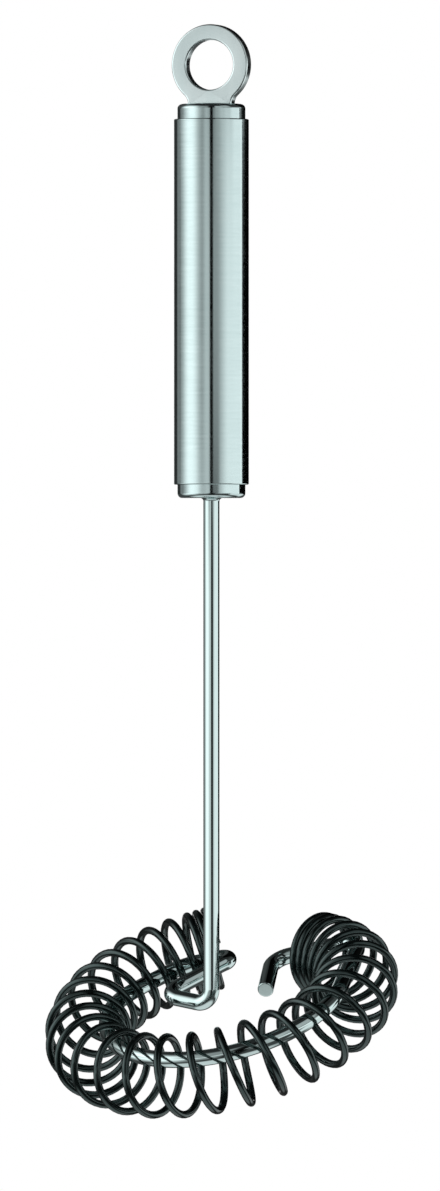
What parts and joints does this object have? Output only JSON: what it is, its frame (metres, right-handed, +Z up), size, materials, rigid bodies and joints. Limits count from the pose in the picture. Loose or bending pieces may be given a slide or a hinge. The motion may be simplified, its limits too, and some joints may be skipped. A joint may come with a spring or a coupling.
{
  "type": "spiral whisk",
  "caption": "Spiral whisk: tubular steel handle with a hanging eye, a bent wire shaft that ends in a tilted open ring, and a black coil spring threaded on that ring.",
  "frame": {"origin": "centre of the hanging eye's hole, where the whisk hangs on its hook", "axes": "+Z up along the handle and shaft, -Y out of the eye's front face, +X to the right of that face"},
  "size_m": [0.0887, 0.079, 0.2686],
  "materials": {
    "brushed_steel": "satin, lightly brushed",
    "polished_steel": "polished",
    "black_coating": "black satin coating over spring steel"
  },
  "bodies": {
    "handle": {"hanging_eye": "brushed_steel", "top_cap": "brushed_steel", "handle_tube": "brushed_steel", "bottom_cap": "brushed_steel", "whisk_wire": "polished_steel"},
    "spring": {"coil_spring": "black_coating"}
  },
  "joints": [
    {"name": "spring_slide", "type": "hinge", "parent": "handle", "child": "spring", "pos_m": [0.00342, -0.00192, -0.2323], "axis": [-0.0749, -0.4572, 0.8862], "range_deg": [-1, 12]}
  ]
}
